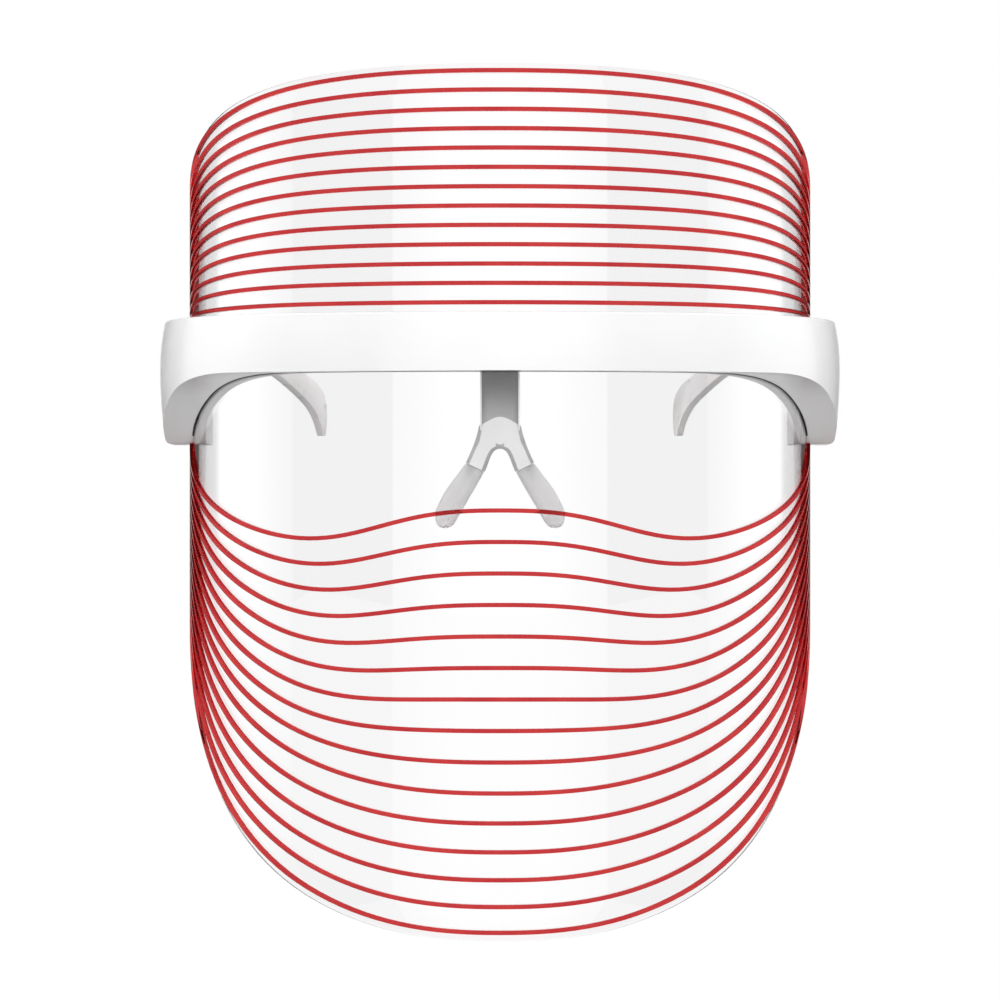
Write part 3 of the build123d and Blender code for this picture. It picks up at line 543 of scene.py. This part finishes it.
# ---------------------------------------------------------------- nose bridge
# A white wishbone moulding, screwed to the bar behind the sheet. Its neck under the bar is set back between
# two thin rims, and its front plate, which splits into two legs, has chamfered edges. The neck's shadow is
# painted shade: its faces are grey, darkening to near black up towards the bar and towards the rims, and the
# edges carry a grey painted shade.
column_half = 5.5 * mm
column_top = 36.4 * mm
column_front = -16.3 * mm
column_back = -13.7 * mm
plate_top = 8.8 * mm
plate_side = 6.4 * mm
plate_front = -12.3 * mm
plate_lean = 0.225
plate_chamfer = 0.8 * mm
rim_width = 0.45 * mm
rim_height = 0.8 * mm
leg_lean = math.radians(26.4)
leg_outer = Vector((9.5 * mm, -3.9 * mm))
leg_inner = Vector((4.3 * mm, -6.5 * mm))
leg_back = -0.1 * mm
back_low = -1 * mm
flank_top_z = 10 * mm
flank_pull = 4.8 * mm
flank_start = 0.26
arch_share = 0.42
arch_pull = 2.6 * mm
arch_leg_pull = 3.2 * mm
lip_depth = 1.6 * mm
neck_blend = 3 * mm
neck_front_low = -11 * mm
rim_fade_z = 18 * mm
# WHITE faces are the bridge's own white, EDGE faces take the grey painted shade of its edges, and SHADE faces
# the painted shade of the neck.
WHITE, EDGE, SHADE = range(3)
bridge_vertices, bridge_faces, bridge_parts = [], [], []


def eased(value, low, high, to_low, to_high):
    """Smoothly from to_low where value is low to to_high where it is high."""
    share = min(1.0, max(0.0, (value - low) / (high - low)))
    return to_low + (to_high - to_low) * share * share * (3 - 2 * share)


def bridge_rear(z):
    return eased(z, back_low, bar_bottom, leg_back, column_back)


def curve_point(start, start_pull, end_pull, end, share):
    """A point of the curve from start to end that leaves and arrives along its two pulls."""
    rest = 1 - share
    return (
        start * rest**3
        + (start + start_pull) * (3 * rest * rest * share)
        + (end + end_pull) * (3 * rest * share * share)
        + end * share**3
    )


leg_up = Vector((-math.sin(leg_lean), math.cos(leg_lean)))
flank_top = Vector((column_half, flank_top_z))


def flank(share):
    """A point down the outer edge of the plate, from beside the neck to the leg's end."""
    share = flank_start + (1 - flank_start) * share
    return curve_point(flank_top, Vector((0, -flank_pull)), leg_up * flank_pull, leg_outer, share)


def inner_side(share):
    """Down the middle of the plate to the top of the arch, and then down the arch's side."""
    if share < arch_share:
        return Vector((0, plate_top * (1 - share / arch_share)))
    turn = (share - arch_share) / (1 - arch_share)
    return curve_point(Vector((0, 0)), Vector((arch_pull, 0)), leg_up * arch_leg_pull, leg_inner, turn)


def plate_point(across, down):
    """A point of the half plate between its arched top, the leg's end, its flank and its inner side."""
    corner_in, corner_out = inner_side(0), flank(0)
    bow = eased(across, 0, 1, 0, 1) * 0.5 + across * across * 0.5
    top = Vector((corner_out.x * across, corner_in.y + (corner_out.y - corner_in.y) * bow))
    end = leg_inner.lerp(leg_outer, across)
    flat = inner_side(down).lerp(flank(down), across) + top.lerp(end, down)
    return flat - corner_in.lerp(corner_out, across).lerp(end, down)


def add_grid(rows, part_of):
    """Quads between rows of points, with the part that each belongs to."""
    start, wide = len(bridge_vertices), len(rows[0])
    bridge_vertices.extend(point for row in rows for point in row)
    for i in range(len(rows) - 1):
        for j in range(wide - 1):
            a = start + i * wide + j
            bridge_faces.append((a, a + 1, a + wide + 1, a + wide))
            bridge_parts.append(part_of(i, j))


def backed(row):
    """The points straight behind a row of the plate, on the bridge's back."""
    return [(x, bridge_rear(z), z) for x, _, z in row]


# The last row above the arch lies just over it, so that the chamfer round the arch starts crisply.
arch_row = 8
top_steps, arch_steps = 9, 14
downs = [arch_share * k / top_steps for k in range(arch_row)] + [arch_share - 0.048]
downs += [arch_share + (1 - arch_share) * k / arch_steps for k in range(arch_steps + 1)]
acrosses = [0, 0.17, 0.3, 0.42, 0.55, 0.68, 0.83, 1]
rim_column = len(acrosses) - 1
for side in (1, -1):
    plate = []
    for i, down in enumerate(downs):
        row = []
        for j, across in enumerate(acrosses):
            flat = plate_point(across, down)
            at_rim = j == rim_column or (j == 0 and i > arch_row)
            y = plate_front + plate_lean * (plate_top - flat.y) + plate_chamfer * at_rim
            row.append((side * flat.x, y, flat.y))
        plate.append(row)
    arch = plate[arch_row + 1:]
    add_grid(plate, lambda i, j: EDGE if j == rim_column - 1 or (j == 0 and i >= arch_row) else WHITE)
    add_grid([[row[-1], backed(row)[-1]] for row in plate], lambda i, j: EDGE)
    add_grid([[row[0], backed(row)[0]] for row in arch], lambda i, j: EDGE)
    add_grid([backed(row) for row in plate], lambda i, j: WHITE)
    add_grid([plate[-1], backed(plate[-1])], lambda i, j: EDGE)
    add_grid([plate[0], [(x, y + lip_depth, z) for x, y, z in plate[0]]], lambda i, j: WHITE)

neck_low = bar_bottom - 16.2 * mm
neck_high = bar_bottom + 2.8 * mm
neck_steps = 16
neck_heights = [column_top, bar_bottom + neck_blend]
neck_heights += [neck_high + (neck_low - neck_high) * k / neck_steps for k in range(neck_steps + 1)]
neck_rows = []
for z in neck_heights:
    front = eased(z, neck_blend, bar_bottom + neck_blend, neck_front_low, column_front)
    rim = front - rim_height * eased(z, rim_fade_z, bar_bottom, 1, 0)
    back = bridge_rear(z)
    inner = column_half - rim_width
    half = [(inner, front, z), (inner, rim, z), (column_half, rim, z), (column_half, back, z)]
    other = [(-x, y, z) for x, y, z in reversed(half)]
    neck_rows.append(other + [(0, front, z)] + half + other[:1])
neck_parts = (WHITE, WHITE, EDGE, SHADE, SHADE, EDGE, WHITE, WHITE, WHITE)
add_grid(neck_rows, lambda i, j: neck_parts[j])
for row in (neck_rows[0], neck_rows[-1]):
    start = len(bridge_vertices)
    bridge_vertices.extend(row[:-1])
    bridge_faces.append(tuple(range(start, start + len(row) - 1)))
    bridge_parts.append(WHITE)

bridge = new_piece("nose_wishbone", bridge_vertices, bridge_faces, smooth=False)
for face, part in zip(bridge.data.polygons, bridge_parts):
    face.material_index = part
shape = bmesh.new()
shape.from_mesh(bridge.data)
bmesh.ops.remove_doubles(shape, verts=shape.verts, dist=1e-6)
bmesh.ops.recalc_face_normals(shape, faces=shape.faces)
shape.to_mesh(bridge.data)
shape.free()
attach(bridge, "mask")
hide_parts("nose_bridge")
bridge_white, shader, place = new_finish("bridge_satin_white", (0.88, 0.88, 0.88), 0.35)
cloud = noise(place, 60, 3)
drive(shader, "Base Color", mottled(cloud, (0.865, 0.867, 0.87), (0.895, 0.895, 0.893)))
drive(shader, "Roughness", noise(place, 300, 3).clamped(0.3, 0.7, 0.3, 0.45))
drive(shader, "Normal", bump(place, noise(place, 2400, 2), 0.1, 0.00004))
# Painted shade: the plate's chamfers and side walls and the rims' sides are a darker grey for the shade along
# the bridge's edges.
painted_shade_edge_grey, shader, place = new_finish("bridge_edge_painted_shade", (0.4, 0.4, 0.4), 0.3)
drive(shader, "Base Color", mottled(noise(place, 90, 3), (0.36, 0.36, 0.365), (0.44, 0.44, 0.44)))
drive(shader, "Roughness", noise(place, 400, 3).clamped(0.3, 0.7, 0.25, 0.4))
# Painted shade: the neck's recess is grey low down and near black up under the bar, and a little darker again
# towards its rims.
neck_painted_shade, shader, place = new_finish("bridge_recess_painted_shade", (0.2, 0.2, 0.2), 0.4)
across, _, height = place.split()
depth = height.clamped(plate_side, bar_bottom)
painted_shade_under_bar = depth.mix((0.40, 0.398, 0.398, 1), (0.004, 0.004, 0.004, 1))
beside = across.math("ABSOLUTE", across).clamped(3.2 * mm, 5.0 * mm)
drive(shader, "Base Color", (beside * 0.3).mix(painted_shade_under_bar, (0.05, 0.05, 0.05, 1)))
drive(shader, "Roughness", noise(place, 400, 3).clamped(0.3, 0.7, 0.35, 0.5))
for finish in (bridge_white, painted_shade_edge_grey, neck_painted_shade):
    bridge.data.materials.append(finish)

# ---------------------------------------------------------------- nose pads
# Soft pads of clear grey silicone, moulded over a peg under each leg of the bridge. They are leaf-shaped,
# with rounded edges, and open towards the face.
pad_grain = 0.35 * mm
grey_silicone, shader, place = new_finish(
    "clear_grey_silicone", (0.82, 0.82, 0.83), 0.4, Transmission_Weight=0.45, IOR=1.41
)
haze = noise(place, 220, 3)
drive(shader, "Base Color", mottled(haze, (0.80, 0.80, 0.808), (0.845, 0.845, 0.85)))
drive(shader, "Roughness", noise(place, 700, 3).clamped(0.3, 0.7, 0.38, 0.55))
drive(shader, "Normal", bump(place, noise(place, 1800, 2), 0.08, 0.00005))
for side in ("left", "right"):
    mesh = nodes[f"{side}_nose_pad"].data.copy()
    mesh.materials.clear()
    pad = bpy.data.objects.new(f"{side}_silicone_pad", mesh)
    bpy.context.scene.collection.objects.link(pad)
    even = pad.modifiers.new("even", "REMESH")
    even.mode = "VOXEL"
    even.voxel_size = pad_grain
    even.use_smooth_shade = True
    soft = pad.modifiers.new("soft", "SMOOTH")
    soft.factor = 0.6
    soft.iterations = 9
    mesh.materials.append(grey_silicone)
    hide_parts(f"{side}_nose_pad")
    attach(pad, "mask")

# ---------------------------------------------------------------- temples
# Each temple is one springy white nylon moulding: a round knuckle at the hinge, then an arm that thins as it
# runs back and hooks down behind the ear.
def softened(name, node, width, segments=2):
    """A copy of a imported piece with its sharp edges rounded."""
    mesh = nodes[node].data.copy()
    mesh.name = name
    mesh.materials.clear()
    shape = bmesh.new()
    shape.from_mesh(mesh)
    bmesh.ops.remove_doubles(shape, verts=shape.verts, dist=1e-6)
    bmesh.ops.dissolve_limit(
        shape,
        angle_limit=math.radians(1),
        use_dissolve_boundaries=False,
        verts=shape.verts,
        edges=shape.edges,
    )
    shape.to_mesh(mesh)
    shape.free()
    piece = bpy.data.objects.new(name, mesh)
    bpy.context.scene.collection.objects.link(piece)
    for face in mesh.polygons:
        face.use_smooth = True
    rounding = add_bevel(piece, width, segments, 35)
    rounding.harden_normals = True
    rounding.use_clamp_overlap = True
    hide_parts(node)
    return piece


temple_nylon, shader, place = new_finish("temple_nylon", (0.87, 0.87, 0.87), 0.33)
drive(shader, "Base Color", mottled(noise(place, 50, 3), (0.855, 0.857, 0.86), (0.885, 0.885, 0.883)))
drive(shader, "Roughness", noise(place, 260, 3).clamped(0.3, 0.7, 0.27, 0.4))
drive(shader, "Normal", bump(place, noise(place, 2000, 2), 0.1, 0.00004))
for side in ("left", "right"):
    temple = softened(f"{side}_temple_arm", f"{side}_temple", 0.35 * mm)
    temple.data.materials.append(temple_nylon)
    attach(temple, f"{side}_arm")

# ---------------------------------------------------------------- hinge pins and screws
# The pins are turned steel with a thin head, pressed down through the band's lugs and the temple's
# knuckle. The screws are plated steel, driven from behind into the shell's bosses.
plated_steel, shader, place = new_finish("plated_steel", (0.62, 0.62, 0.63), 0.3, Metallic=1.0)
across, deep, height = place.split()
rings = place.node("ShaderNodeCombineXYZ", None, {0: across * 60, 1: deep * 60, 2: height * 4000})
turned = noise(rings, 1, 3)
drive(shader, "Base Color", mottled(turned, (0.55, 0.55, 0.56), (0.68, 0.68, 0.685)))
drive(shader, "Roughness", turned.clamped(0.3, 0.7, 0.22, 0.42))
drive(shader, "Normal", bump(place, turned, 0.15, 0.00003))
for name in ("left_hinge_pin", "right_hinge_pin", "cover_screws", "bridge_screws"):
    finish_node(name, plated_steel)

# ---------------------------------------------------------------- circuit boards
# Green glass-epoxy boards: one behind the LEDs in each block, and the control board with its two chips in
# the wearer's right block. Copper tracks show as paler green through the solder mask.
green_board, shader, place = new_finish("green_solder_mask", (0.03, 0.2, 0.08), 0.35)
across, deep, height = place.split()
tracks = place.node("ShaderNodeTexBrick", {"offset": 0.5}, {
    "Vector": place.node("ShaderNodeCombineXYZ", None, {0: deep, 1: height, 2: 0.0}),
    "Scale": 320.0, "Mortar Size": 0.09, "Mortar Smooth": 0.2,
}, "Fac")
speck = noise(place, 900, 3)
mask_green = mottled(speck, (0.018, 0.15, 0.06), (0.03, 0.21, 0.085))
drive(shader, "Base Color", tracks.mix(mask_green, (0.09, 0.38, 0.16, 1)))
drive(shader, "Roughness", speck.clamped(0.2, 0.8, 0.26, 0.45))
drive(shader, "Normal", bump(place, tracks, 0.3, 0.00004))
for name in ("left_led_board", "right_led_board", "control_board"):
    finish_node(name, green_board)

# ---------------------------------------------------------------- LEDs
# Small red LEDs in clear resin over a white base, twelve soldered to each board, that shine into the sheet.
led_resin, shader, place = new_finish("led_resin", (0.9, 0.5, 0.4), 0.15, Emission_Strength=0.4)
cells = {"Vector": place, "Scale": 420.0}
die = place.node("ShaderNodeTexVoronoi", {"feature": "F1"}, cells, "Distance")
drive(shader, "Base Color", mottled(die, (0.95, 0.35, 0.25), (0.88, 0.86, 0.82), 0.1, 0.6))
drive(shader, "Emission Color", mottled(die, (1.0, 0.05, 0.03), (0.25, 0.01, 0.01), 0.1, 0.5))
drive(shader, "Roughness", noise(place, 500, 2).clamped(0.3, 0.7, 0.1, 0.22))
for name in ("left_leds", "right_leds"):
    finish_node(name, led_resin)

# ---------------------------------------------------------------- battery
# A flat lithium pouch in crinkled silver foil. It lies behind the LED board in the wearer's left block and
# is held by the shell around it.
pouch_foil, shader, place = new_finish("pouch_foil", (0.7, 0.7, 0.72), 0.35, Metallic=1.0)
folds = {"Vector": place, "Scale": 260.0}
creases = place.node("ShaderNodeTexVoronoi", {"feature": "DISTANCE_TO_EDGE"}, folds)
crinkle = noise(place, 420, 5)
drive(shader, "Base Color", mottled(crinkle, (0.63, 0.63, 0.65), (0.74, 0.74, 0.755)))
drive(shader, "Roughness", crinkle.clamped(0.3, 0.7, 0.28, 0.46))
drive(shader, "Normal", bump(place, creases + crinkle * 0.3, 0.5, 0.0001))
finish_node("battery", pouch_foil)

# ---------------------------------------------------------------- charging socket
# A stamped and plated steel shell round a tongue, soldered to the control board. It opens at the underside
# of the wearer's right block.
stamped_shell, shader, place = new_finish("stamped_shell", (0.68, 0.68, 0.69), 0.28, Metallic=1.0)
across, deep, height = place.split()
streaks = place.node("ShaderNodeCombineXYZ", None, {0: across * 3000, 1: deep * 3000, 2: height * 120})
drawn = noise(streaks, 1, 3)
drive(shader, "Base Color", mottled(drawn, (0.6, 0.6, 0.61), (0.74, 0.74, 0.745)))
drive(shader, "Roughness", drawn.clamped(0.3, 0.7, 0.2, 0.38))
drive(shader, "Normal", bump(place, drawn, 0.12, 0.00002))
finish_node("charging_socket", stamped_shell)

# ---------------------------------------------------------------- power button and its switch
# The button is a satin light grey cap with a spark-textured face, held by a flange behind the shell's wall.
# It presses a black tact switch on the control board.
button_grey, shader, place = new_finish("button_satin_grey", (0.83, 0.83, 0.84), 0.45)
spark = noise(place, 3200, 3)
drive(shader, "Base Color", mottled(noise(place, 200, 3), (0.80, 0.80, 0.812), (0.845, 0.845, 0.85)))
drive(shader, "Roughness", spark.clamped(0.3, 0.7, 0.4, 0.58))
drive(shader, "Normal", bump(place, spark, 0.35, 0.00003))
finish_node("power_button", button_grey)

switch_black, shader, place = new_finish("switch_black", (0.02, 0.02, 0.021), 0.5)
fleck = noise(place, 1500, 3)
drive(shader, "Base Color", mottled(fleck, (0.014, 0.014, 0.015), (0.032, 0.032, 0.033)))
drive(shader, "Roughness", fleck.clamped(0.3, 0.7, 0.42, 0.6))
finish_node("button_switch", switch_black)

# ---------------------------------------------------------------- flat cable
# An amber polyimide film with copper tracks along it. It lies inside the bar and runs from one block's
# board to the other's.
amber_film, shader, place = new_finish("amber_film", (0.55, 0.25, 0.05), 0.3)
_, _, height = place.split()
track_pitch = 0.5 * mm
wires = height.math("SINE", height * (2 * math.pi / track_pitch)).clamped(-0.2, 0.2)
drive(shader, "Base Color", wires.mix((0.42, 0.17, 0.03, 1), (0.72, 0.40, 0.12, 1)))
drive(shader, "Roughness", noise(place, 400, 3).clamped(0.3, 0.7, 0.22, 0.4))
drive(shader, "Normal", bump(place, wires, 0.2, 0.00003))
finish_node("flex_cable", amber_film)

low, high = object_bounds()
